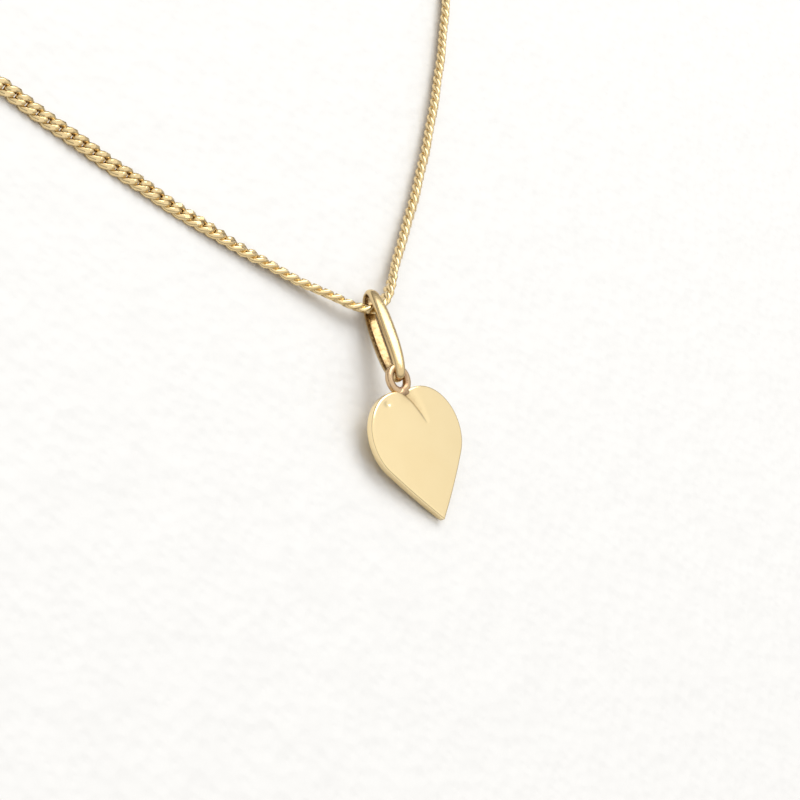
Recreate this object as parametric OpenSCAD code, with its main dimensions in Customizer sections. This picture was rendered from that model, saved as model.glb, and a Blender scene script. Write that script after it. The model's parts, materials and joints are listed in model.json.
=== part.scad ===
// Pendant necklace laid out flat with its clasp undone: a fine filed curb chain,
// an oval bail of half-round wire, a heart plate with a soldered eyelet, and a bolt-ring clasp.
// Millimetres. +Z is up, the floor is Z = 0, the heart lies towards -Y and both arms of the chain run to +Y.
// The origin is the middle of the necklace's box, on the floor.

/* [Chain] */
// Distance from one link's middle to the next
link_pitch = 1.1; // [1.0:0.02:1.2]
// Wire of one chain link
link_wire = 0.28; // [0.22:0.01:0.3]
// Slack between two links that hang in each other
link_slack = 0.06; // [0.05:0.01:0.09]
// Lean of each link about the chain, one way and then the other
link_lean = 38; // [34:1:45]
// Links in each flexing group of an arm
links_per_group = 14; // [10:1:18]
// Links each side of the one inside the bail, in the middle group
middle_links = 6; // [5:1:8]

/* [Layout] */
// Turn of the first three links beside the bail, from the line across the V
first_turns = [0, 18, 27]; // [0:1:30]
// Slope of each arm where it leaves the bail
arm_slope = 36; // [30:1:42]
// Further turn of each link along an arm
link_turn = 0.345; // [0.3:0.005:0.42]
// Height of the chain's middle where it crosses the bail
bail_crossing_z = 1.27; // [1.2:0.01:1.6]
// Height of the chain's ripples; it rests on its low links and only they meet the table
ripple = 0.1; // [0.06:0.01:0.14]

/* [Bail] */
// Outer length of the bail
bail_length = 9.8; // [8.5:0.1:11]
// Outer height of the bail, across its narrow way
bail_height = 2.5; // [2.4:0.05:3.1]
// Width of the half-round wire
bail_band = 0.9; // [0.8:0.05:1.0]
// Thickness of the half-round wire
bail_wall = 0.45; // [0.4:0.05:0.5]
// Turn of the bail from -Y towards -X
bail_turn = 26; // [20:1:32]
// Rise of the bail towards the heart
bail_rise = 11.5; // [9:0.5:13]

/* [Heart] */
// Radius of each lobe
lobe_radius = 3.83; // [3.4:0.05:4.6]
// Distance of a lobe's centre from the heart's middle line
lobe_offset = 1.5; // [1.2:0.05:1.8]
// Distance from the lobes' centres down to the point
point_drop = 7.28; // [6.2:0.1:8.8]
// Radius of the long sides between the lobes and the point
side_radius = 60; // [40:5:90]
// Thickness of the plate at its middle
heart_thickness = 0.8; // [0.7:0.05:1.1]
// Tilt of the heart, its eyelet end higher than its point
heart_tilt = 11.3; // [9:0.1:12]
// Roll of the heart about its own length
heart_roll = -4; // [-6:0.5:0]

/* [Eyelet] */
// Wire of the eyelet
eyelet_wire = 0.6; // [0.5:0.02:0.65]
// Hole of the eyelet
eyelet_hole = 1.4; // [1.34:0.02:1.5]

/* [End rings] */
// Wire of the small ring that carries the clasp
small_ring_wire = 0.4; // [0.36:0.02:0.44]
// Mean diameter of the small ring
small_ring_mean = 1.8; // [1.7:0.02:2.0]
// Wire of the ring that the clasp hooks into
catch_ring_wire = 0.5; // [0.44:0.02:0.56]
// Mean diameter of the ring that the clasp hooks into
catch_ring_mean = 2.5; // [2.3:0.05:3.0]

/* [Clasp] */
// Mean diameter of the bolt ring
clasp_mean = 4.5; // [4.2:0.1:6]
// Outer diameter of the bolt ring's tube
clasp_tube = 1.5; // [1.4:0.05:1.7]
// Bore of the tube
clasp_bore = 0.9; // [0.8:0.02:1.0]
// Running clearance between the bolt and the bore, all round
bolt_clearance = 0.05; // [0.04:0.01:0.08]
// Angle of the gap that the bolt closes
clasp_gap = 55; // [45:1:60]
// Travel of the bolt round the ring
bolt_travel = 58; // [50:1:62]
// Wire of the loop soldered to the bolt ring
clasp_loop_wire = 0.44; // [0.4:0.02:0.5]
// Mean diameter of that loop
clasp_loop_mean = 1.9; // [1.8:0.05:2.3]

/* [Hidden] */
$fn = 48;
gold = "#d9b36a";
pale_gold = "#e6c98a";
steel = "silver";
ARM_GROUPS = 12;

// A link is a ring whose mean radius leaves the slack between neighbours
link_radius = (link_pitch + link_wire + link_slack) / 2;
link_rest_z = link_radius * sin(link_lean) + link_wire / 2;
arm_links = middle_links + ARM_GROUPS * links_per_group;
bail_settle_links = 9;
end_settle_links = 6;
ripple_links = 6;

// Slope of link i of the right arm from +X, and the heights of the joints between links
function link_slope(i) = i < 3 ? first_turns[i] : arm_slope + link_turn * (i - 3);
function ease(t) = t >= 1 ? 0 : (1 + cos(180 * t)) / 2;
function join_z(i) = link_rest_z + ripple * (1 - cos(360 * i / ripple_links)) / 2
  + (bail_crossing_z - link_rest_z) * ease(i / bail_settle_links)
  + (end_z - link_rest_z) * ease((arm_links - i) / end_settle_links);
function flat_step(i) = link_pitch * [cos(link_slope(i)), sin(link_slope(i))];
// Joint i is where link i of the right arm meets link i + 1
joins_flat = [for (i = 0, q = [link_pitch / 2, 0]; i <= arm_links; i = i + 1, q = q + flat_step(i)) q];
function join(i) = [joins_flat[i][0], joins_flat[i][1], join_z(i)];

// End pieces lie in line after the last link, each one slack short of pulling tight
small_ring_lean = -64;
catch_ring_lean = -35;
hook_slack = 0.26;
end_z = small_ring_mean / 2 * abs(sin(small_ring_lean)) + small_ring_wire / 2;
end_slope = link_slope(arm_links);
end_join = join(arm_links);
small_ring_at = small_ring_mean / 2 - small_ring_wire / 2 + link_slack / 2 - hook_slack;
catch_ring_at = catch_ring_mean / 2 - catch_ring_wire / 2 + link_slack / 2 - hook_slack;

// Clasp: its loop's middle, then the bolt ring's middle, from the small ring's middle
clasp_loop_at = small_ring_mean / 2 + clasp_loop_mean / 2
  - small_ring_wire / 2 - clasp_loop_wire / 2 - hook_slack;
solder_bite = 0.12;
clasp_ring_at = clasp_loop_at + clasp_loop_mean / 2 + clasp_loop_wire / 2
  + clasp_mean / 2 + clasp_tube / 2 - solder_bite;
clasp_z = clasp_tube / 2;
bolt_wire = clasp_bore - 2 * bolt_clearance;
gap_start = 35;
bolt_overlap = 5;
bolt_start = gap_start - clasp_gap - bolt_overlap;
bolt_sweep = 140;
knob_at = 60;
stem_wire = 0.44;
slot_clearance = 0.06;
slot_margin = 9;
plug_start = 300;
plug_sweep = 20;
spring_wire = 0.12;
spring_turns = 16;
spring_sides = 5;
spring_steps = 10;

// Heart: the long side is an arc that leaves the lobe smoothly and ends at the point
side_k0 = (lobe_offset ^ 2 - point_drop ^ 2 + 2 * side_radius * lobe_radius - lobe_radius ^ 2)
  / (2 * lobe_offset);
side_k1 = -point_drop / lobe_offset;
quad_a = side_k1 ^ 2 + 1;
quad_b = 2 * side_k0 * side_k1 + 2 * point_drop;
quad_c = side_k0 ^ 2 + point_drop ^ 2 - side_radius ^ 2;
side_y = (-quad_b + sqrt(quad_b ^ 2 - 4 * quad_a * quad_c)) / (2 * quad_a);
side_x = side_k0 + side_k1 * side_y;
side_dir = [lobe_offset - side_x, -side_y] / norm([lobe_offset - side_x, -side_y]);
side_meets_y = lobe_radius * side_dir[1];
notch_y = sqrt(lobe_radius ^ 2 - lobe_offset ^ 2);
eyelet_mean = eyelet_hole + eyelet_wire;
eyelet_solder_depth = 0.1;
eyelet_y = notch_y + eyelet_mean / 2 + eyelet_wire / 2 - eyelet_solder_depth;

// Bail: its upper arc's middle stands over the chain's crossing, its lower arc carries the eyelet
bail_end_radius = bail_height / 2;
bail_straight = bail_length - bail_height;
bail_wire_radius = bail_end_radius - bail_wall / 2;
bail_top = [0.22, 0.5, bail_end_radius];
bail_dir = [-sin(bail_turn) * cos(bail_rise), -cos(bail_turn) * cos(bail_rise), sin(bail_rise)];
bail_up = [sin(bail_turn) * sin(bail_rise), cos(bail_turn) * sin(bail_rise), cos(bail_rise)];
eyelet_perch = -6;
perch = bail_top + bail_dir * (bail_straight + bail_wire_radius * cos(eyelet_perch))
  + bail_up * bail_wire_radius * sin(eyelet_perch);
eyelet_shift = [-0.04, -0.09, 0];
eyelet_middle = perch + eyelet_shift;

// The box of the whole necklace, which puts the origin at its middle
heart_point = eyelet_middle - (eyelet_y + point_drop) * [0, cos(heart_tilt), sin(heart_tilt)];
clasp_top_y = end_join[1] + sin(end_slope) * (small_ring_at + clasp_ring_at + clasp_mean / 2)
  + clasp_tube / 2 + (1 - sin(end_slope)) * clasp_mean / 2;
middle_y = (clasp_top_y + heart_point[1]) / 2;

module place() {
  translate([0, -middle_y, 0]) children();
}

module ring(mean, wire) {
  rotate_extrude() translate([mean / 2, 0]) circle(d = wire);
}

// Link i of the right arm, between joint i - 1 and joint i; link 0 crosses the bail
module link(i) {
  from = i == 0 ? [-link_pitch / 2, 0, join_z(0)] : join(i - 1);
  to = join(i);
  step = to - from;
  translate((from + to) / 2)
    rotate([0, -asin(step[2] / norm(step)), link_slope(i)])
      rotate([i % 2 == 0 ? link_lean : -link_lean, 0, 0])
        ring(2 * link_radius, link_wire);
}

module arm_group(number, side) {
  first = middle_links + 1 + (number - 1) * links_per_group;
  color(gold) place() mirror([side < 0 ? 1 : 0, 0, 0])
    for (i = [first : first + links_per_group - 1]) link(i);
}

module chain_middle() {
  color(gold) place() {
    link(0);
    for (i = [1 : middle_links]) {
      link(i);
      mirror([1, 0, 0]) link(i);
    }
  }
}

// Half-round section, flat inside and round outside, standing at a given radius
module half_round(radius) {
  translate([radius, 0]) intersection() {
    scale_circle();
    translate([0, -bail_band]) square([bail_wall, 2 * bail_band]);
  }
}

// Circle whose cap over the flat is as wide as the band and as thick as the wall
module scale_circle() {
  r = (bail_band ^ 2 / 4 + bail_wall ^ 2) / (2 * bail_wall);
  translate([bail_wall - r, 0]) circle(r = r);
}

module bail() {
  inner = bail_end_radius - bail_wall;
  color(pale_gold) place() translate(bail_top)
    rotate([0, 0, -90 - bail_turn]) rotate([0, -bail_rise, 0]) rotate([90, 0, 0]) {
      rotate([0, 0, 90]) rotate_extrude(angle = 180) half_round(inner);
      translate([bail_straight, 0, 0]) rotate([0, 0, -90]) rotate_extrude(angle = 180) half_round(inner);
      for (s = [0, 1]) mirror([0, s, 0])
        rotate([90, 0, 90]) linear_extrude(bail_straight) half_round(inner);
    }
}

module heart_place() {
  place() translate(eyelet_middle) rotate([heart_tilt, 0, 0]) rotate([0, heart_roll, 0])
    translate([0, -eyelet_y, 0]) children();
}

module heart_outline() {
  for (s = [-1, 1]) translate([s * lobe_offset, 0]) circle(r = lobe_radius);
  intersection() {
    translate([side_x, side_y]) circle(r = side_radius, $fn = 360);
    translate([-side_x, side_y]) circle(r = side_radius, $fn = 360);
    translate([-2 * lobe_radius, -2 * point_drop]) square([4 * lobe_radius, 2 * point_drop + side_meets_y]);
  }
}

module heart_plate() {
  crease_length = 3.4;
  crease_radius = 0.5;
  crease_depth = 0.16;
  color(gold) heart_place() difference() {
    translate([0, 0, -heart_thickness / 2]) linear_extrude(heart_thickness) heart_outline();
    translate([0, notch_y, heart_thickness / 2 + crease_radius - 2 * crease_depth])
      rotate([90 - 4, 0, 0]) cylinder(r = crease_radius, h = crease_length);
  }
}

module heart_eyelet() {
  color(pale_gold) heart_place() translate([0, eyelet_y, 0]) ring(eyelet_mean, eyelet_wire);
}

// Things in line after the last link: X runs on along the arm, from the end joint
module arm_end(side) {
  place() mirror([side < 0 ? 1 : 0, 0, 0])
    translate([end_join[0], end_join[1], 0]) rotate([0, 0, end_slope]) children();
}

module clasp_ring() {
  color(gold) arm_end(-1) translate([small_ring_at, 0, end_z])
    rotate([small_ring_lean, 0, 0]) ring(small_ring_mean, small_ring_wire);
}

module catch_ring() {
  color(gold) arm_end(1) translate([catch_ring_at, 0, end_z])
    rotate([catch_ring_lean, 0, 0]) ring(catch_ring_mean, catch_ring_wire);
}

module clasp_place() {
  arm_end(-1) translate([small_ring_at + clasp_ring_at, 0, clasp_z]) children();
}

module arc(from, sweep) {
  rotate([0, 0, from]) rotate_extrude(angle = sweep) translate([clasp_mean / 2, 0]) children();
}

// Tube of the bolt ring: open ends, a slot on its rim for the thumb knob, and a plug that stops the spring
module clasp_tube() {
  slot_half = stem_wire / 2 + slot_clearance;
  plug_bite = 0.1;
  color(gold) clasp_place() {
    difference() {
      arc(gap_start, 360 - clasp_gap) difference() {
        circle(d = clasp_tube);
        circle(d = clasp_bore);
      }
      arc(knob_at - slot_margin, bolt_travel + 2 * slot_margin)
        translate([clasp_bore / 4, -slot_half]) square([clasp_tube, 2 * slot_half]);
    }
    arc(plug_start, plug_sweep) circle(d = clasp_bore + plug_bite);
  }
}

module clasp_loop() {
  color(gold) clasp_place() translate([clasp_loop_at - clasp_ring_at, 0, 0])
    ring(clasp_loop_mean, clasp_loop_wire);
}

module clasp_bolt() {
  color(pale_gold) clasp_place() arc(bolt_start, bolt_sweep) circle(d = bolt_wire);
}

module clasp_thumb_knob() {
  stem = clasp_tube / 2 + 0.3;
  head_r = 0.5;
  color(pale_gold) clasp_place() rotate([0, 0, knob_at]) translate([clasp_mean / 2, 0, 0]) rotate([0, 90, 0]) {
    translate([0, 0, bolt_wire / 4]) cylinder(d = stem_wire, h = stem);
    translate([0, 0, clasp_tube / 2 + 0.06]) cylinder(r = head_r, h = 0.35);
  }
}

// Coil spring along the bore, swept as one closed tube of few faces
spring_from = bolt_start + bolt_sweep + 1.5;
spring_sweep = plug_start - spring_from - 1.5;
spring_radius = clasp_bore / 2 - spring_wire / 2 - 0.06;
function spring_rim(t, side) =
  let (turn = 360 * spring_turns * t,
    around = spring_from + spring_sweep * t,
    rim = 360 * side / spring_sides,
    out = [cos(turn) * cos(around), cos(turn) * sin(around), sin(turn)],
    along = [-sin(around), cos(around), 0],
    bore_middle = clasp_mean / 2 * [cos(around), sin(around), 0])
  bore_middle + spring_radius * out + spring_wire / 2 * (cos(rim) * out + sin(rim) * along);

module clasp_spring() {
  rings = spring_turns * spring_steps;
  points = [for (k = [0 : rings], s = [0 : spring_sides - 1]) spring_rim(k / rings, s)];
  walls = [for (k = [0 : rings - 1], s = [0 : spring_sides - 1])
    let (n = (s + 1) % spring_sides, a = k * spring_sides, b = a + spring_sides)
    [a + s, a + n, b + n, b + s]];
  start = [for (s = [0 : spring_sides - 1]) spring_sides - 1 - s];
  finish = [for (s = [0 : spring_sides - 1]) rings * spring_sides + s];
  color(steel) clasp_place() polyhedron(points, concat([start], walls, [finish]));
}

chain_middle();
for (k = [1 : ARM_GROUPS]) {
  tail = k < 10 ? str("0", k) : str(k);
  arm_group(k, -1);
  arm_group(k, 1);
}
bail();
heart_plate();
heart_eyelet();
clasp_ring();
catch_ring();
clasp_tube();
clasp_loop();
clasp_bolt();
clasp_thumb_knob();
clasp_spring();
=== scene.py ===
# %% [markdown]
# # A heart pendant on a fine curb chain
# The real necklace has three kinds of work in it. The chain is 349 small loops of wire, each twisted and hung
# in the next, then filed flat on its faces. The bail is one oval loop of half-round wire. The heart is a sawn
# and polished plate with a ring soldered into its notch. Each one is made here in the way that suits it: the
# loops by Geometry Nodes, because one shape repeats along a path, and the bail and the heart by short
# functions that follow their outlines.

import json
import math

import bmesh
import bpy
from mathutils import Euler, Matrix, Vector, noise


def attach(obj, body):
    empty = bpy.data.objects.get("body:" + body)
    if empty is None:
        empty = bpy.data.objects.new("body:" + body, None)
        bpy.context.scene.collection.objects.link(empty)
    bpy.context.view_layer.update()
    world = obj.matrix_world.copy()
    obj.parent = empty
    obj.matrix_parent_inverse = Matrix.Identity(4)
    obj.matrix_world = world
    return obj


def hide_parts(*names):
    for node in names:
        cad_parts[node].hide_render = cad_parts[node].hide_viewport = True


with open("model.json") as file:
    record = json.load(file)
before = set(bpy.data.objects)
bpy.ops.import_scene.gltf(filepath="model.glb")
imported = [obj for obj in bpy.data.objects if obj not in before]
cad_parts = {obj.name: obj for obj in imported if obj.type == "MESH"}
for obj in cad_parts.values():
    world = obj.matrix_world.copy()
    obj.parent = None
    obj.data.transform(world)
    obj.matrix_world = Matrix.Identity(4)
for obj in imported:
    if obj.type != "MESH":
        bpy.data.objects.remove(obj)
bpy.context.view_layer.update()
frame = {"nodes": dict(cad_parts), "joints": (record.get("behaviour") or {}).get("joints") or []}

# %% [markdown]
# ## Working in millimetres
# Jewellery is thought of in millimetres, and the frame is in metres. Every shape below is worked out in
# millimetres from the middle of the link that hangs in the bail, and one function moves it to its place in
# the frame as its mesh is made. The finished object then sits at the origin, unturned, like the frame's own.

# %% Units and the middle of the V
MM = 0.001
joint_at = {j["name"]: Vector(j["pos_m"]) / MM for j in frame["joints"]}
apex = Vector((0, joint_at["bail_swing"].y, 0))


def make_piece(name, points, faces, material):
    """A closed mesh from points in millimetres round the apex, with its faces turned outwards."""
    mesh = bpy.data.meshes.new(name)
    mesh.from_pydata([(Vector(p) + apex) * MM for p in points], [], faces)
    shape = bmesh.new()
    shape.from_mesh(mesh)
    bmesh.ops.recalc_face_normals(shape, faces=shape.faces)
    shape.to_mesh(mesh)
    shape.free()
    mesh.polygons.foreach_set("use_smooth", [True] * len(mesh.polygons))
    mesh.materials.append(material)
    piece = bpy.data.objects.new(name, mesh)
    bpy.context.scene.collection.objects.link(piece)
    return piece


def tube_faces(rings, sides, close_ends=False):
    """Quads that join rings of points; the last ring meets the first one, or both ends get a cap."""
    steps = rings - 1 if close_ends else rings
    faces = []
    for r in range(steps):
        for s in range(sides):
            a, b = r * sides + s, r * sides + (s + 1) % sides
            c, d = ((r + 1) % rings) * sides + (s + 1) % sides, ((r + 1) % rings) * sides + s
            faces.append((a, b, c, d))
    if close_ends:
        faces.append(tuple(range(sides)))
        faces.append(tuple((rings - 1) * sides + s for s in range(sides)))
    return faces


print("apex in mm:", [round(v, 3) for v in apex])

# %% [markdown]
# ## Hand polish
# Gold that has been worn is never a perfect mirror. Under a loupe it has slow waves from the buffing wheel
# and many fine straight scratches. Both could be painted as an image, but noise in object coordinates needs
# no unwrapping and has the same size on every piece. The group gives a height for a Bump node, a roughness
# and a tone between 0 and 1 that the colour uses.

# %% The hand polish group
def new_group(name, inputs, outputs):
    """A shader group with float or colour sockets; inputs are (name, type, default)."""
    group = bpy.data.node_groups.new(name, "ShaderNodeTree")
    for label, kind, value in inputs:
        socket = group.interface.new_socket(label, in_out="INPUT", socket_type=kind)
        socket.default_value = value
    for label, kind in outputs:
        group.interface.new_socket(label, in_out="OUTPUT", socket_type=kind)
    return group, group.nodes.new("NodeGroupInput"), group.nodes.new("NodeGroupOutput")


def add(tree, kind, **settings):
    """A node with its properties set; a key that is an input's name sets that input."""
    node = tree.nodes.new(kind)
    for key, value in settings.items():
        if key in node.inputs:
            node.inputs[key].default_value = value
        else:
            setattr(node, key, value)
    return node


def math_node(tree, operation, first, second=None, clamp=False):
    """first and second are sockets or numbers; returns the result's socket."""
    node = tree.nodes.new("ShaderNodeMath")
    node.operation = operation
    node.use_clamp = clamp
    for n, value in enumerate(v for v in (first, second) if v is not None):
        if isinstance(value, (int, float)):
            node.inputs[n].default_value = value
        else:
            tree.links.new(value, node.inputs[n])
    return node.outputs[0]


def scratch_lines(tree, coordinates, turn, stretch, density, width):
    """Thin straight lines in one direction: noise stretched along it, cut to its narrow zero crossings."""
    place = add(tree, "ShaderNodeMapping")
    place.inputs["Rotation"].default_value = turn
    place.inputs["Scale"].default_value = (1, stretch, stretch)
    tree.links.new(coordinates, place.inputs["Vector"])
    grain = add(tree, "ShaderNodeTexNoise", Scale=density, Detail=1.0, Roughness=0.4)
    tree.links.new(place.outputs[0], grain.inputs["Vector"])
    away = math_node(tree, "ABSOLUTE", math_node(tree, "SUBTRACT", grain.outputs["Fac"], 0.5))
    return math_node(tree, "SUBTRACT", 1.0, math_node(tree, "DIVIDE", away, width, clamp=True), clamp=True)


polish, polish_in, polish_out = new_group(
    "Hand polish",
    [("Roughness", "NodeSocketFloat", 0.12), ("Scratch amount", "NodeSocketFloat", 0.5),
     ("Wave size", "NodeSocketFloat", 700.0)],
    [("Height", "NodeSocketFloat"), ("Roughness", "NodeSocketFloat"), ("Tone", "NodeSocketFloat")],
)
where = add(polish, "ShaderNodeTexCoord").outputs["Object"]
waves = add(polish, "ShaderNodeTexNoise", Detail=2.0, Roughness=0.45)
polish.links.new(where, waves.inputs["Vector"])
polish.links.new(polish_in.outputs["Wave size"], waves.inputs["Scale"])
long_lines = scratch_lines(polish, where, (0.3, 0.2, 0.5), 14.0, 520.0, 0.012)
cross_lines = scratch_lines(polish, where, (0.1, -0.4, 1.9), 11.0, 640.0, 0.010)
lines = math_node(polish, "MAXIMUM", long_lines, cross_lines)
patches = add(polish, "ShaderNodeTexNoise", Scale=330.0, Detail=2.0)
polish.links.new(where, patches.inputs["Vector"])
lines = math_node(polish, "MULTIPLY", lines, patches.outputs["Fac"])
lines = math_node(polish, "MULTIPLY", lines, polish_in.outputs["Scratch amount"])
height = math_node(polish, "SUBTRACT", waves.outputs["Fac"], math_node(polish, "MULTIPLY", lines, 0.12))
rougher = math_node(polish, "MULTIPLY", lines, 0.25)
mottled = math_node(polish, "MULTIPLY", patches.outputs["Fac"], 0.06)
rough = math_node(polish, "ADD", polish_in.outputs["Roughness"], math_node(polish, "ADD", rougher, mottled))
polish.links.new(height, polish_out.inputs["Height"])
polish.links.new(rough, polish_out.inputs["Roughness"])
polish.links.new(patches.outputs["Fac"], polish_out.inputs["Tone"])
print("group:", polish.name, "with", len(polish.nodes), "nodes")

# %% [markdown]
# ## Painted recess shade
# The gold is painted darker where shade falls: inside the loops and round the solder. A mask
# painted on the mesh as an attribute says where that is. The group breaks the mask up with fine noise and
# mixes the clean gold with the darker painted shade, so no edge of it looks drawn.

# %% The painted recess shade group
recess_shade, recess_shade_in, recess_shade_out = new_group(
    "Painted recess shade",
    [("Clean", "NodeSocketColor", (0.8, 0.6, 0.3, 1)), ("Worn", "NodeSocketColor", (0.7, 0.5, 0.25, 1)),
     ("Dark", "NodeSocketColor", (0.2, 0.1, 0.05, 1)), ("Tone", "NodeSocketFloat", 0.5),
     ("Mask", "NodeSocketFloat", 0.0)],
    [("Color", "NodeSocketColor"), ("Amount", "NodeSocketFloat")],
)
breakup = add(recess_shade, "ShaderNodeTexNoise", Scale=2600.0, Detail=3.0)
recess_shade.links.new(add(recess_shade, "ShaderNodeTexCoord").outputs["Object"], breakup.inputs["Vector"])
uneven = math_node(recess_shade, "MULTIPLY", breakup.outputs["Fac"], 1.9)
amount = math_node(recess_shade, "MULTIPLY", recess_shade_in.outputs["Mask"], uneven, clamp=True)
body_colour = add(recess_shade, "ShaderNodeMix", data_type="RGBA")
recess_shade.links.new(recess_shade_in.outputs["Tone"], body_colour.inputs["Factor"])
recess_shade.links.new(recess_shade_in.outputs["Clean"], body_colour.inputs[6])
recess_shade.links.new(recess_shade_in.outputs["Worn"], body_colour.inputs[7])
# Mixes in the painted shade colour where the broken-up mask says.
darker = add(recess_shade, "ShaderNodeMix", data_type="RGBA")
recess_shade.links.new(amount, darker.inputs["Factor"])
recess_shade.links.new(body_colour.outputs[2], darker.inputs[6])
recess_shade.links.new(recess_shade_in.outputs["Dark"], darker.inputs[7])
recess_shade.links.new(darker.outputs[2], recess_shade_out.inputs["Color"])
recess_shade.links.new(amount, recess_shade_out.inputs["Amount"])
print("group:", recess_shade.name, "with", len(recess_shade.nodes), "nodes")

# %% [markdown]
# ## The golds
# One recipe makes every gold of the necklace, with its own colours and values: metal all through, its tone
# from the polish group and a painted shade in its recesses from the `recess` attribute that the piece
# carries.
# The bump is kept very low, since a mirror surface shows the smallest unevenness.

# %% Gold materials
RELIEF = 0.04 * MM


def gold(name, clean, worn, dark, roughness, scratches, wave_size, bump):
    """A polished gold; clean, worn and dark are linear colours, and dark is the painted shade in recesses."""
    material = bpy.data.materials.new(name)
    material.use_nodes = True
    tree = material.node_tree
    shader = tree.nodes["Principled BSDF"]
    shader.inputs["Metallic"].default_value = 1.0
    surface = tree.nodes.new("ShaderNodeGroup")
    surface.node_tree = polish
    surface.inputs["Roughness"].default_value = roughness
    surface.inputs["Scratch amount"].default_value = scratches
    surface.inputs["Wave size"].default_value = wave_size
    tone_and_shade = tree.nodes.new("ShaderNodeGroup")
    tone_and_shade.node_tree = recess_shade
    for label, colour in (("Clean", clean), ("Worn", worn), ("Dark", dark)):
        tone_and_shade.inputs[label].default_value = (*colour, 1)
    # The recess attribute says where the painted shade goes.
    recess = add(tree, "ShaderNodeAttribute", attribute_name="recess")
    relief = add(tree, "ShaderNodeBump", Strength=bump, Distance=RELIEF)
    tree.links.new(surface.outputs["Tone"], tone_and_shade.inputs["Tone"])
    tree.links.new(recess.outputs["Fac"], tone_and_shade.inputs["Mask"])
    tree.links.new(tone_and_shade.outputs["Color"], shader.inputs["Base Color"])
    tree.links.new(surface.outputs["Roughness"], shader.inputs["Roughness"])
    tree.links.new(surface.outputs["Height"], relief.inputs["Height"])
    tree.links.new(relief.outputs["Normal"], shader.inputs["Normal"])
    return material


chain_gold = gold("chain_gold", (0.88, 0.70, 0.39), (0.78, 0.58, 0.29), (0.16, 0.08, 0.025),
                  roughness=0.16, scratches=0.5, wave_size=1800, bump=0.25)
bail_gold = gold("bail_gold", (0.80, 0.62, 0.34), (0.68, 0.50, 0.25), (0.20, 0.11, 0.04),
                 roughness=0.17, scratches=1.3, wave_size=900, bump=0.5)
heart_gold = gold("heart_gold", (0.97, 0.80, 0.48), (0.94, 0.75, 0.42), (0.42, 0.25, 0.09),
                  roughness=0.11, scratches=0.8, wave_size=260, bump=0.3)
solder_gold = gold("solder_gold", (0.76, 0.57, 0.34), (0.62, 0.42, 0.25), (0.22, 0.10, 0.05),
                   roughness=0.22, scratches=0.8, wave_size=1500, bump=0.8)
clasp_gold = gold("clasp_gold", (0.90, 0.68, 0.35), (0.82, 0.58, 0.27), (0.16, 0.08, 0.03),
                  roughness=0.13, scratches=0.7, wave_size=900, bump=0.3)
spring_steel = gold("spring_steel", (0.62, 0.62, 0.60), (0.50, 0.50, 0.49), (0.1, 0.1, 0.1),
                    roughness=0.25, scratches=0.6, wave_size=1500, bump=0.3)
print("golds:", [m.name for m in bpy.data.materials if m.use_nodes and m.name.endswith("gold")])

# %% [markdown]
# ## One curb link
# A curb link starts as an oval loop. It is twisted about its long axis, so that its two ends stand across
# each other and each hooks flat into the next, and then the finished chain is filed or rolled flat on both
# faces. A curve with a bevel would give the loop, but not the file marks. Here the loop is worked out point
# by point: the twist grows quickly from the middle, and every point beyond the filed plane is brought back
# to it. The faces that lie wholly in that plane get sharp edges, as a file leaves them. The link has 96
# faces, few enough to repeat hundreds of times.

# %% The link's shape
LINK_PITCH = 1.1
WIRE = 0.56
LOOP_HALF_LENGTH = 0.83
LOOP_HALF_WIDTH = 0.45
END_TWIST = math.radians(-60)
TWIST_RISE = 0.6
FILED_AT = 0.37
LOOP_STEPS = 16
WIRE_SIDES = 6


def loop_point(t):
    """Middle of the wire at angle t round the loop, after the twist."""
    along = LOOP_HALF_LENGTH * math.cos(t)
    across = LOOP_HALF_WIDTH * math.sin(t)
    twist = END_TWIST * math.copysign(abs(math.cos(t)) ** TWIST_RISE, along)
    return Vector((along, across * math.cos(twist), across * math.sin(twist)))


def link_mesh():
    """The link round its own middle, lengthwise along X, flat faces to +Z and -Z, in metres."""
    points, recess = [], []
    for k in range(LOOP_STEPS):
        t = 2 * math.pi * k / LOOP_STEPS
        middle = loop_point(t)
        forward = (loop_point(t + 0.05) - loop_point(t - 0.05)).normalized()
        outward = (middle - middle.dot(forward) * forward).normalized()
        side = forward.cross(outward)
        for s in range(WIRE_SIDES):
            a = 2 * math.pi * (s + 0.5) / WIRE_SIDES
            p = middle + WIRE / 2 * (math.cos(a) * outward + math.sin(a) * side)
            filed = abs(p.z) > FILED_AT
            p.z = max(-FILED_AT, min(FILED_AT, p.z))
            points.append(p * MM)
            # The inner side of the wire, towards the loop's middle, gets painted shade; the filed faces get
            # none.
            recess.append(0.0 if filed else max(0.0, -math.cos(a)))
    mesh = bpy.data.meshes.new("curb_link")
    mesh.from_pydata(points, [], tube_faces(LOOP_STEPS, WIRE_SIDES))
    shape = bmesh.new()
    shape.from_mesh(mesh)
    bmesh.ops.recalc_face_normals(shape, faces=shape.faces)
    for face in shape.faces:
        face.smooth = True
    for face in shape.faces:
        if all(abs(v.co.z) > (FILED_AT - 0.002) * MM for v in face.verts):
            for edge in face.edges:
                edge.smooth = False
    shape.to_mesh(mesh)
    shape.free()
    mask = mesh.attributes.new("recess", "FLOAT", "POINT")
    mask.data.foreach_set("value", recess)
    return mesh


link = bpy.data.objects.new("curb_link", link_mesh())
bpy.context.scene.collection.objects.link(link)
print("link:", len(link.data.polygons), "faces, mm:", [round(d / MM, 2) for d in link.dimensions])

# %% [markdown]
# ## The path of the chain
# The chain's joints follow the same rule as in the frame: the link in the bail lies across the V, two links
# turn down into each arm, and from there every link turns a little more. The chain rests on the table except
# where the bail and the end rings lift it.

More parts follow.
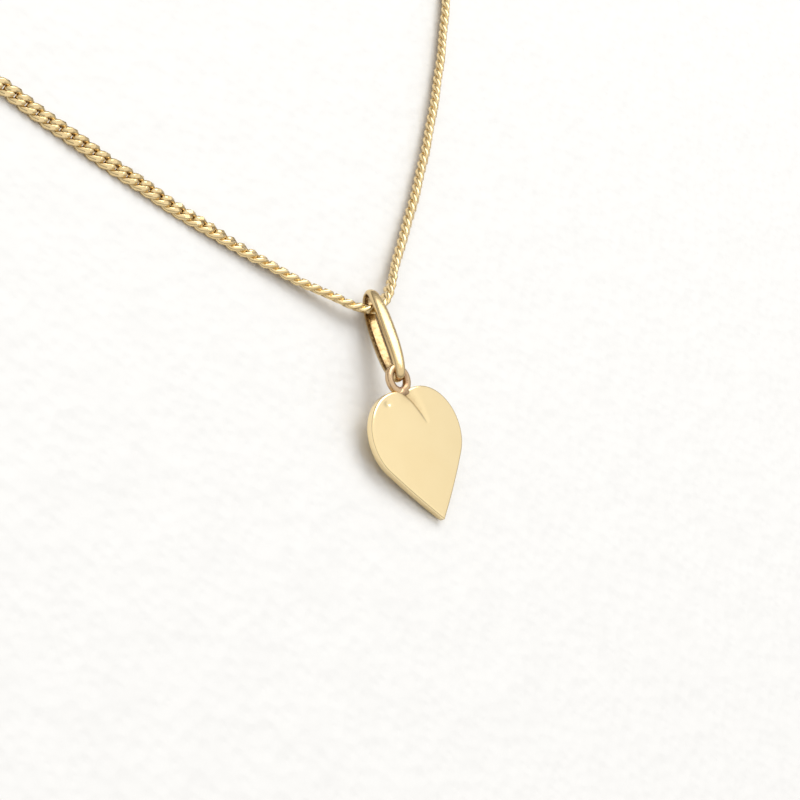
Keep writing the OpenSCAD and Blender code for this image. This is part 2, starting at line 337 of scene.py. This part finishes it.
# %% Slopes and joints
FIRST_TURNS = (0, 18, 27)
ARM_SLOPE = 36
LINK_TURN = 0.345
BAIL_CROSSING_Z = 1.27
LINK_HALF_WIDTH = 0.7
RIPPLE = 0.1
RIPPLE_LINKS = 6
MIDDLE_LINKS = 6
GROUP_LINKS = 14
ARM_GROUPS = 12
BAIL_SETTLE = 9
END_SETTLE = 6
SMALL_RING_MEAN = 1.8
SMALL_RING_WIRE = 0.4
SMALL_RING_LEAN = math.radians(64)

arm_links = MIDDLE_LINKS + ARM_GROUPS * GROUP_LINKS
end_z = SMALL_RING_MEAN / 2 * math.sin(SMALL_RING_LEAN) + SMALL_RING_WIRE / 2


def link_slope(i):
    """Slope of link i from the line across the V, in radians."""
    return math.radians(FIRST_TURNS[i] if i < 3 else ARM_SLOPE + LINK_TURN * (i - 3))


def ease(t):
    return 0.0 if t >= 1 else (1 + math.cos(math.pi * t)) / 2


joints = [Vector((LINK_PITCH / 2, 0, 0))]
for i in range(1, arm_links + 1):
    step = LINK_PITCH * Vector((math.cos(link_slope(i)), math.sin(link_slope(i)), 0))
    joints.append(joints[-1] + step)
print("arm:", arm_links, "links, ends at mm", [round(v, 2) for v in joints[-1]])

# %% [markdown]
# ## How the chain rolls
# A curb chain is a ribbon, and it never lies dead flat along a curve. It leans outwards on both arms, turns
# on its edge near the bail and passes through the bail standing up. The roll is given at a few links, and
# runs smoothly between them. A flat face looks the same from both sides, so -60 degrees and 120
# degrees are the same link.

# %% Roll of each link
LEFT_ROLL = ((0, -60), (4, -46), (9, -34), (12, -22), (18, 10), (24, 30), (34, 42), (90, 44), (174, 10))
RIGHT_ROLL = ((0, 120), (3, 84), (7, 50), (12, 46), (90, 46), (174, 12))


def roll_at(i, stops):
    """Outward roll of link i, eased between the stops on each side of it, in radians."""
    for (a, low), (b, high) in zip(stops, stops[1:]):
        if i <= b:
            t = (i - a) / (b - a)
            return math.radians(low + (high - low) * t * t * (3 - 2 * t))
    return math.radians(stops[-1][1])


def link_roll(i, side):
    return roll_at(i, RIGHT_ROLL) if side > 0 else -roll_at(i, LEFT_ROLL)


def joint_z(i, side):
    """Height at which a link with this roll rests, with the bail's and the end ring's lift."""
    roll = (link_roll(i, side) + link_roll(i + 1, side)) / 2
    rest = math.hypot(FILED_AT * math.cos(roll), LINK_HALF_WIDTH * math.sin(roll)) + 0.01
    rest += RIPPLE * (1 - math.cos(2 * math.pi * i / RIPPLE_LINKS)) / 2
    at_bail = ease(i / BAIL_SETTLE)
    at_end = ease((arm_links - i) / END_SETTLE)
    return rest + (BAIL_CROSSING_Z - rest) * at_bail + (end_z - rest) * at_end


def link_place(i, side):
    """Middle and turn of link i on the left (-1) or right (+1) arm."""
    start = Vector((-joints[0].x, 0, 0)) if i == 0 else joints[i - 1].copy()
    end = joints[i].copy()
    start.z = joint_z(max(0, i - 1), side)
    end.z = joint_z(i, side)
    middle = (start + end) / 2
    rise = math.asin((end.z - start.z) / (end - start).length)
    heading = link_slope(i) if side > 0 else math.pi - link_slope(i)
    turn = (Matrix.Rotation(heading, 3, "Z") @ Matrix.Rotation(-rise, 3, "Y")
            @ Matrix.Rotation(link_roll(i, side), 3, "X"))
    return Vector((side * middle.x, middle.y, middle.z)), turn.to_euler("XYZ")


print("roll at link 20, left:", round(math.degrees(roll_at(20, LEFT_ROLL))), "degrees")

# %% [markdown]
# ## Laying the links with Geometry Nodes
# A tree takes bare points, puts the link on each, turns it as the point's `turn` says, makes the copies real
# and gives them the gold. An Array modifier along a curve would be quicker to set up, but it can't give each
# link its own roll. Each body of the frame gets one mesh, because its links move together.

# %% The link tree
def link_tree():
    tree = bpy.data.node_groups.new("Links on points", "GeometryNodeTree")
    sockets = {}
    for label, kind in (("Points", "NodeSocketGeometry"), ("Link", "NodeSocketObject"),
                        ("Link size", "NodeSocketFloat"), ("Gold", "NodeSocketMaterial")):
        sockets[label] = tree.interface.new_socket(label, in_out="INPUT", socket_type=kind).identifier
    tree.interface.new_socket("Links", in_out="OUTPUT", socket_type="NodeSocketGeometry")
    enter, leave = tree.nodes.new("NodeGroupInput"), tree.nodes.new("NodeGroupOutput")
    shape = tree.nodes.new("GeometryNodeObjectInfo")
    turn = tree.nodes.new("GeometryNodeInputNamedAttribute")
    turn.data_type = "FLOAT_VECTOR"
    turn.inputs["Name"].default_value = "turn"
    rotation = tree.nodes.new("FunctionNodeEulerToRotation")
    copies = tree.nodes.new("GeometryNodeInstanceOnPoints")
    real = tree.nodes.new("GeometryNodeRealizeInstances")
    coat = tree.nodes.new("GeometryNodeSetMaterial")
    for start, end in (
        (enter.outputs["Link"], shape.inputs["Object"]),
        (enter.outputs["Points"], copies.inputs["Points"]),
        (shape.outputs["Geometry"], copies.inputs["Instance"]),
        (turn.outputs["Attribute"], rotation.inputs["Euler"]),
        (rotation.outputs["Rotation"], copies.inputs["Rotation"]),
        (enter.outputs["Link size"], copies.inputs["Scale"]),
        (copies.outputs["Instances"], real.inputs["Geometry"]),
        (real.outputs["Geometry"], coat.inputs["Geometry"]),
        (enter.outputs["Gold"], coat.inputs["Material"]),
        (coat.outputs["Geometry"], leave.inputs["Links"]),
    ):
        tree.links.new(start, end)
    return tree, sockets


links_on_points, link_sockets = link_tree()


def lay_links(name, places):
    """One plain mesh of links; places is a list of (middle in mm, euler)."""
    mesh = bpy.data.meshes.new(name)
    mesh.from_pydata([(p + apex) * MM for p, _ in places], [], [])
    turns = mesh.attributes.new("turn", "FLOAT_VECTOR", "POINT")
    turns.data.foreach_set("vector", [angle for _, turn in places for angle in turn])
    piece = bpy.data.objects.new(name, mesh)
    bpy.context.scene.collection.objects.link(piece)
    layer = piece.modifiers.new("Links", "NODES")
    layer.node_group = links_on_points
    layer[link_sockets["Link"]] = link
    layer[link_sockets["Link size"]] = 1.0
    layer[link_sockets["Gold"]] = chain_gold
    ready = piece.evaluated_get(bpy.context.evaluated_depsgraph_get())
    made = bpy.data.meshes.new_from_object(ready)
    piece.modifiers.clear()
    piece.data = made
    made.name = name
    return piece


# %% Lay all 25 groups
def finish_piece(piece, body, slot, *nodes):
    """What every replacing piece needs: its body and the nodes that it stands for. The slot argument is not
    used.
    """
    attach(piece, body)
    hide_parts(*nodes)
    return piece


middle_places = [link_place(0, 1)]
for i in range(1, MIDDLE_LINKS + 1):
    middle_places += [link_place(i, -1), link_place(i, 1)]
finish_piece(lay_links("links_middle", middle_places), "chain_middle", "chain_gold", "chain_middle")
laid = len(middle_places)
for side, word in ((-1, "left"), (1, "right")):
    for group in range(1, ARM_GROUPS + 1):
        first = MIDDLE_LINKS + 1 + (group - 1) * GROUP_LINKS
        places = [link_place(i, side) for i in range(first, first + GROUP_LINKS)]
        body = f"chain_{word}_{group:02d}"
        finish_piece(lay_links(f"links_{word}_{group:02d}", places), body, "chain_gold", body)
        laid += len(places)
bpy.data.objects.remove(link)
print("links laid:", laid)

# %% [markdown]
# ## The bail
# The bail is one loop of half-round wire, flat inside and domed outside, pinched a little at both ends. It
# could be a curve with a bevel profile, but the wire is wider at the middle of its length than at the ends,
# and has a thin side wall below the dome. So its section is drawn once, and carried round a soft oval with
# its width changing on the way.

# %% The bail's shape
BAIL_LENGTH = 9.8
BAIL_HEIGHT = 2.5
BAIL_WALL = 0.45
BAIL_TURN = math.radians(26)
BAIL_RISE = math.radians(11.5)
BAIL_LEAN = math.radians(16)
BAIL_TOP = Vector((0.22, 0.5, BAIL_HEIGHT / 2))
OVAL_POWER = 2.8
BAND_MIDDLE = 1.28
BAND_ENDS = 0.85
BAIL_STEPS = 144

bail_dir = Vector((-math.sin(BAIL_TURN) * math.cos(BAIL_RISE), -math.cos(BAIL_TURN) * math.cos(BAIL_RISE),
                   math.sin(BAIL_RISE)))
bail_up = Vector((math.sin(BAIL_TURN) * math.sin(BAIL_RISE), math.cos(BAIL_TURN) * math.sin(BAIL_RISE),
                  math.cos(BAIL_RISE)))
flat_side = bail_dir.cross(bail_up)
upright = bail_up
bail_up = upright * math.cos(BAIL_LEAN) + flat_side * math.sin(BAIL_LEAN)
bail_side = bail_dir.cross(bail_up)
bail_middle = BAIL_TOP + bail_dir * (BAIL_LENGTH - BAIL_HEIGHT) / 2
SIDE_WALL = 0.3
FOOT = 0.04
DOME_STEPS = 10
DOME_POWER = 0.85
HOLLOW = 0.018


def oval(t):
    """Outside of the bail in its own plane, as a soft-cornered oval: (along, up)."""
    c, s = math.cos(t), math.sin(t)
    along = math.copysign(abs(c) ** (2 / OVAL_POWER), c) * BAIL_LENGTH / 2
    up = math.copysign(abs(s) ** (2 / OVAL_POWER), s) * BAIL_HEIGHT / 2
    return Vector((along, up))


def band_section(width):
    """Half-round section with a low side wall: (across, height over the flat inside, painted recess shade).
    """
    wall = SIDE_WALL * BAIL_WALL
    half = width / 2
    # The flat inside gets the most painted shade, the foot of the side wall less, its top a trace and the
    # dome none.
    points = [(-half * 0.96, 0.0, 0.9), (-half, FOOT, 0.5), (-half, wall, 0.1)]
    for k in range(1, DOME_STEPS):
        a = math.pi * k / DOME_STEPS
        points.append((-half * math.cos(a), wall + (BAIL_WALL - wall) * math.sin(a) ** DOME_POWER, 0.0))
    points += [(half, wall, 0.1), (half, FOOT, 0.5), (half * 0.96, 0.0, 0.9)]
    points += [(half / 2, -HOLLOW * 2 / 3, 0.6), (0.0, -HOLLOW, 0.5), (-half / 2, -HOLLOW * 2 / 3, 0.6)]
    return points


def bail_points():
    """Points round the bail and the mask of painted recess shade that goes with them."""
    steps = []
    for k in range(BAIL_STEPS):
        t = 2 * math.pi * (k + 0.5) / BAIL_STEPS
        steps.append(oval(t))
    points, recess = [], []
    for k, here in enumerate(steps):
        tangent = (steps[(k + 1) % BAIL_STEPS] - steps[k - 1]).normalized()
        outward = Vector((tangent.y, -tangent.x))
        fullness = 1 - (abs(here.x) / (BAIL_LENGTH / 2)) ** 2
        width = BAND_ENDS + (BAND_MIDDLE - BAND_ENDS) * fullness
        for across, high, mask in band_section(width):
            flat = here - outward * (BAIL_WALL - high)
            points.append(bail_middle + bail_dir * flat.x + bail_up * flat.y + bail_side * across)
            recess.append(mask)
    return points, recess


def paint(piece, values):
    """Stores how recessed each point of the mesh is, for the materials to turn into painted shade."""
    mask = piece.data.attributes.new("recess", "FLOAT", "POINT")
    mask.data.foreach_set("value", values)


points, recess = bail_points()
bail = make_piece("bail_loop", points, tube_faces(BAIL_STEPS, len(points) // BAIL_STEPS), bail_gold)
paint(bail, recess)
finish_piece(bail, "bail", "bail_gold", "bail")
print("bail:", len(bail.data.polygons), "faces")

# %% [markdown]
# ## The heart's outline
# The outline is two round lobes and two long, very slightly bowed sides that leave the lobes smoothly and
# meet at the point. Walking along these arcs gives evenly spaced points with their true outward directions,
# which the rounded edge needs. At the notch and at the point, the direction is halfway between the two sides.

# %% Outline and edge
LOBE_RADIUS = 3.83
LOBE_OFFSET = 1.5
POINT_DROP = 7.28
SIDE_RADIUS = 60.0
HEART_THICKNESS = 0.8
HEART_TILT = math.radians(11.3)
HEART_ROLL = math.radians(-4)
EYELET_WIRE = 0.6
EYELET_HOLE = 1.4
SOLDER_DEPTH = 0.1
EYELET_PERCH = math.radians(-6)
EYELET_SHIFT = Vector((-0.04, -0.09, 0))
OUTLINE_STEP = 0.1
EDGE_ROUND = 0.2
MITRE_LIMIT = 1.6
TIP_CLEAR = 0.06

notch_y = math.sqrt(LOBE_RADIUS ** 2 - LOBE_OFFSET ** 2)
eyelet_mean = EYELET_HOLE + EYELET_WIRE
eyelet_y = notch_y + eyelet_mean / 2 + EYELET_WIRE / 2 - SOLDER_DEPTH

# The long side's centre lies where an arc through the point just touches the lobe from outside
k0 = LOBE_OFFSET ** 2 - POINT_DROP ** 2 + 2 * SIDE_RADIUS * LOBE_RADIUS - LOBE_RADIUS ** 2
k0 /= 2 * LOBE_OFFSET
k1 = -POINT_DROP / LOBE_OFFSET
qa, qb, qc = k1 ** 2 + 1, 2 * k0 * k1 + 2 * POINT_DROP, k0 ** 2 + POINT_DROP ** 2 - SIDE_RADIUS ** 2
side_y = (-qb + math.sqrt(qb ** 2 - 4 * qa * qc)) / (2 * qa)
side_middle = Vector((k0 + k1 * side_y, side_y))
meets = (Vector((LOBE_OFFSET, 0)) - side_middle).normalized()


def arc_walk(centre, radius, start, stop):
    """Evenly spaced (point, outward) pairs along an arc, the last one left for the next arc."""
    count = max(2, round(abs(stop - start) * radius / OUTLINE_STEP))
    for k in range(count):
        a = start + (stop - start) * k / count
        outward = Vector((math.cos(a), math.sin(a)))
        yield centre + radius * outward, outward


def heart_outline():
    """Round the heart clockwise from the notch: (point, outward, mitre)."""
    lobe = Vector((LOBE_OFFSET, 0))
    from_notch = math.atan2(notch_y, -LOBE_OFFSET)
    to_side = math.atan2(meets.y, meets.x)
    tip = Vector((0, -POINT_DROP)) - side_middle
    half = list(arc_walk(lobe, LOBE_RADIUS, from_notch, to_side))
    half += list(arc_walk(side_middle, SIDE_RADIUS, to_side, math.atan2(tip.y, tip.x)))
    notch_mitre = min(1 / abs(half[0][1].y), MITRE_LIMIT)
    tip_mitre = 1 / abs(tip.normalized().y)
    # Beside the point the rounding of one side would reach across to the other, so those points are left out
    right = [(p, n, 1.0) for p, n in half[1:] if (p - n * EDGE_ROUND).x > TIP_CLEAR]
    left = [(Vector((-p.x, p.y)), Vector((-n.x, n.y)), 1.0) for p, n, _ in reversed(right)]
    notch = (half[0][0], Vector((0, 1)), notch_mitre)
    point = (Vector((0, -POINT_DROP)), Vector((0, -1)), tip_mitre)
    return [notch, *right, point, *left]


outline = heart_outline()
print("outline points:", len(outline), "notch at", round(notch_y, 2), "mm")

# %% [markdown]
# ## The heart plate
# The plate is a dense sheet of rings that shrink from the edge to a middle point. The outer rings follow a
# quarter circle, so the edge is softly rounded all the way round, as buffing leaves it. The top is crowned
# by a few hundredths of a millimetre: a dead flat mirror would show one flat colour. A crease runs down from
# the notch and bends to one side, cut as a groove that gets shallower along its length. It is pressed into
# the mesh and not only painted as bump, because its shoulders catch the light.

# %% The plate's shape
EDGE_STEPS = 6
CROWN = 0.06
CROWN_REACH = 5.5
FACE_RINGS = 64
BACK_RINGS = 10
HEART_MIDDLE = Vector((0, -0.7))
CREASE = (Vector((-0.45, 3.8)), Vector((0.75, 2.9)), Vector((1.5, 0.6)))
CREASE_DEPTH = 0.24
CREASE_LEFT = 0.14
CREASE_RIGHT = 0.62
CREASE_STEPS = 40
CREASE_FADE = 0.7
CREASE_POWER = 1.6
DENT = Vector((-2.45, 3.0))
DENT_SIZE = (0.34, 0.24)
DENT_DEPTH = 0.08


def crease_point(t):
    """A point on the crease, which bends from the notch to one side."""
    a, b, c = CREASE
    return a * (1 - t) ** 2 + b * 2 * t * (1 - t) + c * t ** 2


crease_path = [(k / CREASE_STEPS, crease_point(k / CREASE_STEPS)) for k in range(CREASE_STEPS + 1)]


def in_crease(p):
    """How deep p lies in the crease, 0 to 1: steep on its left side, and a slow slope on its right."""
    t, near = min(crease_path, key=lambda c: (c[1] - p).length_squared)
    away = (p - near).length
    width = CREASE_LEFT if p.x < near.x else CREASE_RIGHT * (1 - t) + CREASE_LEFT
    return (1 - t) ** CREASE_FADE * math.exp(-((away / width) ** CREASE_POWER))


def top_height(p):
    """Height of the plate's upper face at p."""
    z = HEART_THICKNESS / 2 - CROWN * ((p - HEART_MIDDLE).length / CROWN_REACH) ** 2
    dent = Vector(((p.x - DENT.x) / DENT_SIZE[0], (p.y - DENT.y) / DENT_SIZE[1]))
    return z - CREASE_DEPTH * in_crease(p) - DENT_DEPTH * math.exp(-dent.length_squared)


def plate_rings():
    """Rings of (x, y, z) from the middle of the back, round the edge, to the middle of the face."""
    rings = []
    inner = [p - n * m * EDGE_ROUND for p, n, m in outline]
    for k in range(1, BACK_RINGS + 1):
        f = k / BACK_RINGS
        rings.append([(*(HEART_MIDDLE + (p - HEART_MIDDLE) * f), -HEART_THICKNESS / 2) for p in inner])
    for k in range(1, 2 * EDGE_STEPS + 1):
        a = math.pi * (k / (2 * EDGE_STEPS)) - math.pi / 2
        inset = EDGE_ROUND * (1 - math.cos(a))
        z = math.copysign(HEART_THICKNESS / 2 - EDGE_ROUND, a) + EDGE_ROUND * math.sin(a)
        ring = []
        for p, n, m in outline:
            q = p - n * m * inset
            ring.append((q.x, q.y, z - (HEART_THICKNESS / 2 - top_height(q)) * max(0.0, math.sin(a))))
        rings.append(ring)
    for k in range(1, FACE_RINGS):
        f = 1 - k / FACE_RINGS
        flat = [HEART_MIDDLE + (p - HEART_MIDDLE) * f for p in inner]
        rings.append([(q.x, q.y, top_height(q)) for q in flat])
    return rings


eyelet_middle = (BAIL_TOP + bail_dir * (BAIL_LENGTH - BAIL_HEIGHT)
                 + bail_dir * (BAIL_HEIGHT - BAIL_WALL) / 2 * math.cos(EYELET_PERCH)
                 + upright * (BAIL_HEIGHT - BAIL_WALL) / 2 * math.sin(EYELET_PERCH) + EYELET_SHIFT)
heart_turn = Matrix.Rotation(HEART_TILT, 3, "X") @ Matrix.Rotation(HEART_ROLL, 3, "Y")


def heart_place(p):
    """From the heart's own millimetres, with its lobes' middle at zero, to the necklace's."""
    return eyelet_middle + heart_turn @ (Vector(p) - Vector((0, eyelet_y, 0)))


rings = plate_rings()
around = len(outline)
flat_points = [p for ring in rings for p in ring]
centres = [(HEART_MIDDLE.x, HEART_MIDDLE.y, -HEART_THICKNESS / 2),
           (HEART_MIDDLE.x, HEART_MIDDLE.y, top_height(HEART_MIDDLE))]
faces = tube_faces(len(rings), around, close_ends=True)[:-2]
last = (len(rings) - 1) * around
for s in range(around):
    faces.append((s, (s + 1) % around, len(flat_points)))
    faces.append((last + s, last + (s + 1) % around, len(flat_points) + 1))
heart = make_piece("heart_plate_polished", [heart_place(p) for p in flat_points + centres], faces, heart_gold)


def crease_mask(p):
    """Painted shade sits in the crease and in the corner by the solder."""
    q = Vector((p[0], p[1]))
    by_solder = 0.55 * math.exp(-(((q - Vector((0, notch_y))).length / 0.6) ** 2))
    return max(0.8 * in_crease(q) ** 1.5, by_solder) if p[2] > 0 else by_solder


paint(heart, [crease_mask(p) for p in flat_points + centres])
finish_piece(heart, "heart", "heart_gold", "heart_plate")
print("heart:", len(heart.data.polygons), "faces")

# %% [markdown]
# ## The eyelet and its solder
# The eyelet is a small ring of flattened wire. It was soldered into the notch, and the solder ran up both
# sides of the joint and left a pinker colour than the gold. The ring is a torus with a squarish section, and
# the solder is a soft saddle that is broad on the plate and narrow on the ring. A Boolean union would join
# the two, but leaves a hard seam. The saddle overlaps both instead, as the metal did when it flowed.

# %% Eyelet and solder shapes
EYELET_STEPS = 64
SECTION_SIDES = 16
SECTION_POWER = 2.4
EYELET_METAL = 0.7


def squared(a, half_width, half_height):
    """A point on a circle that is pushed towards a square."""
    c, s = math.cos(a), math.sin(a)
    return (math.copysign(abs(c) ** (2 / SECTION_POWER), c) * half_width,
            math.copysign(abs(s) ** (2 / SECTION_POWER), s) * half_height)


points, recess, pink = [], [], []
for k in range(EYELET_STEPS):
    t = 2 * math.pi * k / EYELET_STEPS
    to_plate = (1 - math.sin(t)) / 2
    for s in range(SECTION_SIDES):
        out, up = squared(2 * math.pi * s / SECTION_SIDES, EYELET_METAL / 2, EYELET_WIRE / 2)
        out *= 0.92 + 0.12 * to_plate
        r = eyelet_mean / 2 + out
        points.append(heart_place((r * math.cos(t), eyelet_y + r * math.sin(t), up)))
        # The inside of the ring, towards the hole, gets painted shade and the rest a trace of it.
        recess.append(0.55 if out < -0.12 else 0.05)
eyelet = make_piece("eyelet_ring", points, tube_faces(EYELET_STEPS, SECTION_SIDES), solder_gold)
paint(eyelet, recess)
finish_piece(eyelet, "heart", "bail_gold", "heart_eyelet")

SADDLE_STEPS = 40
SADDLE_RINGS = 20
SADDLE_HALF_WIDTH = 0.95
SADDLE_HALF_LENGTH = 0.42
SADDLE_HALF_HEIGHT = 0.345
SADDLE_TAPER = 0.35
SADDLE_SHIFT = 0.12
SADDLE_SAG = 0.12
saddle = []
for k in range(1, SADDLE_RINGS):
    v = math.pi * k / SADDLE_RINGS
    for s in range(SADDLE_STEPS):
        a = 2 * math.pi * s / SADDLE_STEPS
        x = math.sin(v) * math.cos(a)
        y = math.sin(v) * math.sin(a)
        z = math.cos(v)
        spread = SADDLE_HALF_WIDTH - SADDLE_TAPER * y
        lump = 1 + 0.05 * noise.noise(Vector((x, y, z)) * 2.2)
        down = SADDLE_HALF_LENGTH * y * lump - SADDLE_SAG * x * x
        up = SADDLE_HALF_HEIGHT * z * lump
        saddle.append(heart_place((x * spread * lump, notch_y + SADDLE_SHIFT + down, up)))
for end in (1, -1):
    saddle.append(heart_place((0, notch_y + SADDLE_SHIFT, end * SADDLE_HALF_HEIGHT)))
faces = tube_faces(SADDLE_RINGS - 1, SADDLE_STEPS, close_ends=True)[:-2]
last = (SADDLE_RINGS - 2) * SADDLE_STEPS
for s in range(SADDLE_STEPS):
    faces.append((s, (s + 1) % SADDLE_STEPS, len(saddle) - 2))
    faces.append((last + s, last + (s + 1) % SADDLE_STEPS, len(saddle) - 1))
solder = make_piece("heart_solder", saddle, faces, solder_gold)
# The whole solder gets a quarter of the painted recess shade.
paint(solder, [0.25] * len(saddle))
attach(solder, "heart")
print("eyelet:", len(eyelet.data.polygons), "solder:", len(solder.data.polygons), "faces")

# %% [markdown]
# ## The clasp
# A bolt ring is a curved tube with a sprung bolt in it. Its shapes are already true in the frame, down to
# the slot that the thumb knob runs in, so its nodes stay and only get their metal.

# %% Metals of the frame's own nodes
for name, metal in (("clasp_ring", chain_gold), ("catch_ring", chain_gold), ("clasp_tube", clasp_gold),
                    ("clasp_loop", clasp_gold), ("clasp_bolt", clasp_gold), ("clasp_thumb_knob", clasp_gold),
                    ("clasp_spring", spring_steel)):
    node = frame["nodes"][name]
    node.data.materials.clear()
    node.data.materials.append(metal)
print("clasp nodes:", len([n for n in frame["nodes"] if n.startswith("clasp")]))

# %% [markdown]
# ## The table
# The necklace lies on pale leathercloth: almost white, with a shallow pebbled grain that only shows where
# the light rakes across it. Voronoi cells give the pebbles, and noise keeps them from looking regular.

# %% Leathercloth table
def leathercloth():
    material = bpy.data.materials.new("leathercloth")
    material.use_nodes = True
    tree = material.node_tree
    shader = tree.nodes["Principled BSDF"]
    shader.inputs["Roughness"].default_value = 0.6
    where = add(tree, "ShaderNodeTexCoord").outputs["Object"]
    pebbles = add(tree, "ShaderNodeTexVoronoi", Scale=900.0, feature="SMOOTH_F1", Smoothness=0.6)
    swell = add(tree, "ShaderNodeTexNoise", Scale=260.0, Detail=4.0)
    for texture in (pebbles, swell):
        tree.links.new(where, texture.inputs["Vector"])
    relief = math_node(tree, "ADD", pebbles.outputs["Distance"], swell.outputs["Fac"])
    bump = add(tree, "ShaderNodeBump", Strength=0.6, Distance=0.0002)
    tree.links.new(relief, bump.inputs["Height"])
    tree.links.new(bump.outputs["Normal"], shader.inputs["Normal"])
    tint = add(tree, "ShaderNodeMix", data_type="RGBA")
    tint.inputs[6].default_value = (0.80, 0.80, 0.79, 1)
    tint.inputs[7].default_value = (0.86, 0.86, 0.85, 1)
    tree.links.new(swell.outputs["Fac"], tint.inputs["Factor"])
    tree.links.new(tint.outputs[2], shader.inputs["Base Color"])
    return material


TABLE_HALF = 1.2
mesh = bpy.data.meshes.new("table")
mesh.from_pydata([(x * TABLE_HALF, y * TABLE_HALF, 0) for x, y in ((-1, -1), (1, -1), (1, 1), (-1, 1))], [],
                 [(0, 1, 2, 3)])
mesh.materials.append(leathercloth())
table = bpy.data.objects.new("table", mesh)
bpy.context.scene.collection.objects.link(table)
print("table:", 2 * TABLE_HALF, "m across")

# %% [markdown]
# ## Light
# Gold shows what surrounds it, so the light has to be shaped. A broad soft panel from the upper right throws
# the soft shadows. The sky is bright above, where the heart mirrors it, and dim near the horizon, which is
# what draws the dark edges and gaps.

# %% Sky and panels
def sky(top, horizon):
    world = bpy.data.worlds.new("studio")
    world.use_nodes = True
    tree = world.node_tree
    where = add(tree, "ShaderNodeTexCoord").outputs["Generated"]
    split = add(tree, "ShaderNodeSeparateXYZ")
    tree.links.new(where, split.inputs[0])
    band = add(tree, "ShaderNodeValToRGB")
    band.color_ramp.elements[0].position = 0.05
    band.color_ramp.elements[0].color = (*horizon, 1)
    band.color_ramp.elements[1].position = 0.75
    band.color_ramp.elements[1].color = (*top, 1)
    tree.links.new(split.outputs["Z"], band.inputs["Fac"])
    tree.links.new(band.outputs["Color"], tree.nodes["Background"].inputs["Color"])
    tree.nodes["Background"].inputs["Strength"].default_value = 1.0
    bpy.context.scene.world = world


def panel(name, offset, size, watts, colour=(1, 1, 1)):
    """A square soft light aimed at the pendant; offset is from the apex, in metres."""
    lamp = bpy.data.lights.new(name, "AREA")
    lamp.size = size
    lamp.energy = watts
    lamp.color = colour
    light = bpy.data.objects.new(name, lamp)
    light.location = apex * MM + Vector(offset)
    light.rotation_euler = (-Vector(offset)).to_track_quat("-Z", "Y").to_euler()
    bpy.context.scene.collection.objects.link(light)


sky((1.05, 1.04, 1.03), (0.24, 0.23, 0.22))
panel("key", (0.32, 0.40, 0.62), 0.6, 3.0, (1.0, 0.985, 0.96))

# %% [markdown]
# ## Camera
# The camera looks down on the pendant from the left and is turned on its side a little, which sets the V of
# the chain at a slant. Its place is measured from the apex in millimetres.

# %% Camera
CAMERA_AT = Vector((-163.563, -41.265, 122.583))
CAMERA_TURN = (36.886, -42.104, -36.642)
FOCAL_MM = 112.0

lens = bpy.data.cameras.new("camera")
lens.sensor_width = 36.0
lens.lens = FOCAL_MM
lens.clip_start = 0.005
lens.clip_end = 10.0
camera = bpy.data.objects.new("camera", lens)
camera.location = (CAMERA_AT + apex) * MM
camera.rotation_euler = Euler([math.radians(a) for a in CAMERA_TURN], "XYZ")
bpy.context.scene.collection.objects.link(camera)
bpy.context.scene.camera = camera
bpy.context.scene.view_settings.view_transform = "Standard"
print("camera:", [round(v, 4) for v in camera.location])

# %% Finish
print("finished")
